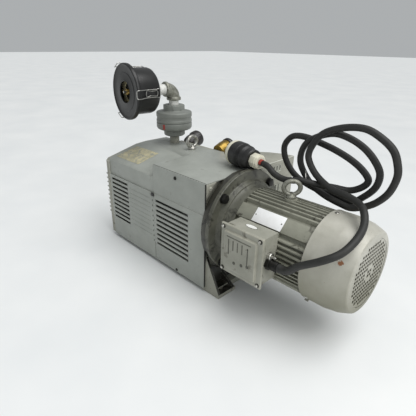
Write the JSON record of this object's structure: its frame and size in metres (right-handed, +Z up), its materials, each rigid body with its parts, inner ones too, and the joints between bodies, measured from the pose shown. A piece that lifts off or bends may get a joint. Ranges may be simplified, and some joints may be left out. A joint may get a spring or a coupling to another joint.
{
  "type": "rotary vane vacuum pump",
  "caption": "Direct-driven rotary vane vacuum pump: louvred pump housing, flanged finned motor with terminal box, inlet filter on a check valve, coiled power cord with plug.",
  "frame": {"origin": "on the standing surface, under the shaft, near the motor flange", "axes": "+X along the shaft to the fan end of the motor, +Y away from the terminal box, +Z up"},
  "size_m": [0.709, 0.3503, 0.477],
  "materials": {
    "grey_paint": "semi-gloss grey enamel",
    "motor_paint": "satin olive grey enamel over cast metal",
    "cowl_paint": "satin silver grey paint over pressed steel",
    "cast_iron": "machined and as cast",
    "steel": "bright",
    "galvanised": "dull zinc",
    "brass": "satin",
    "copper": "varnished copper wire",
    "black_plastic": "moulded",
    "black_steel": "gloss black enamel",
    "rubber": "matt",
    "carbon": "carbon fibre composite",
    "paper": "pleated filter paper",
    "cream_plastic": "moulded"
  },
  "bodies": {
    "housing": {"base_frame": "grey_paint", "rear_foot_near": "rubber", "rear_foot_far": "rubber", "cylinder": "cast_iron", "front_end_plate": "cast_iron", "rear_end_plate": "cast_iron", "front_bearing": "steel", "rear_bearing": "steel", "motor_front_bearing": "steel", "motor_rear_bearing": "steel", "drive_end_shield": "motor_paint", "motor_frame": "motor_paint", "wound_stator": "copper", "fan_end_shield": "motor_paint", "fan_cowl": "cowl_paint", "motor_lifting_eye": "steel", "terminal_box": "grey_paint", "terminal_cover": "grey_paint", "cord_gland": "steel", "plug_collar": "cream_plastic", "plug_body": "black_plastic", "plug_insert": "brass", "cord": "rubber", "roof_hood": "grey_paint", "left_panel": "grey_paint", "right_panel": "grey_paint", "far_panel": "grey_paint", "end_grille": "grey_paint", "outlet_housing": "grey_paint", "vacuum_valve_body": "black_plastic", "relief_valve_body": "brass", "suction_pipe": "galvanised", "check_valve_lower": "grey_paint", "check_valve_upper": "grey_paint", "upper_nipple": "steel", "elbow": "galvanised", "filter_nipple": "steel", "filter_bowl": "black_steel", "filter_element": "paper", "filter_lid": "black_steel", "tie_rod": "steel", "roof_lifting_eye": "steel"},
    "rotating_group": {"rotor": "cast_iron", "vane_1": "carbon", "vane_2": "carbon", "vane_3": "carbon", "vane_4": "carbon", "pump_cooling_fan": "black_plastic", "coupling_pump_half": "steel", "coupling_spider": "rubber", "coupling_motor_half": "steel", "motor_rotor": "steel", "motor_fan": "black_plastic"},
    "vacuum_knob": {"vacuum_valve_knob": "black_plastic"},
    "relief_knob": {"relief_valve_knob": "black_plastic"},
    "valve_disc": {"check_disc": "steel"},
    "clip_1": {"filter_clip_1": "steel"},
    "clip_2": {"filter_clip_2": "steel"},
    "clip_3": {"filter_clip_3": "steel"},
    "nut": {"wing_nut": "brass"}
  },
  "joints": [
    {"name": "shaft_spin", "type": "hinge", "parent": "housing", "child": "rotating_group", "pos_m": [0, 0, 0.158], "axis": [1, 0, 0], "continuous": true},
    {"name": "vacuum_knob_turn", "type": "hinge", "parent": "housing", "child": "vacuum_knob", "pos_m": [-0.321, 0.121, 0.252], "axis": [0, 0.9703, 0.2419], "range_deg": [-900, 900]},
    {"name": "relief_knob_turn", "type": "hinge", "parent": "housing", "child": "relief_knob", "pos_m": [-0.193, 0.121, 0.252], "axis": [0, 0.9703, 0.2419], "range_deg": [-900, 900]},
    {"name": "check_disc_travel", "type": "slide", "parent": "housing", "child": "valve_disc", "axis": [0, 0, -1], "range_m": [0, 0.006], "stiffness_N_per_m": 200, "springref_m": -0.03},
    {"name": "clip_1_swing", "type": "hinge", "parent": "housing", "child": "clip_1", "pos_m": [-0.27009, -0.01089, 0.409], "axis": [0, 0, 1], "range_deg": [0, 100]},
    {"name": "clip_2_swing", "type": "hinge", "parent": "housing", "child": "clip_2", "pos_m": [-0.36034, -0.00141, 0.46139], "axis": [-0.8613, 0.0905, -0.5], "range_deg": [0, 100]},
    {"name": "clip_3_swing", "type": "hinge", "parent": "housing", "child": "clip_3", "pos_m": [-0.36034, -0.00141, 0.35661], "axis": [0.8613, -0.0905, -0.5], "range_deg": [0, 100]},
    {"name": "wing_nut_turn", "type": "hinge", "parent": "housing", "child": "nut", "pos_m": [-0.322, 0.074, 0.409], "axis": [-0.1045, -0.9945, 0], "continuous": true}
  ]
}
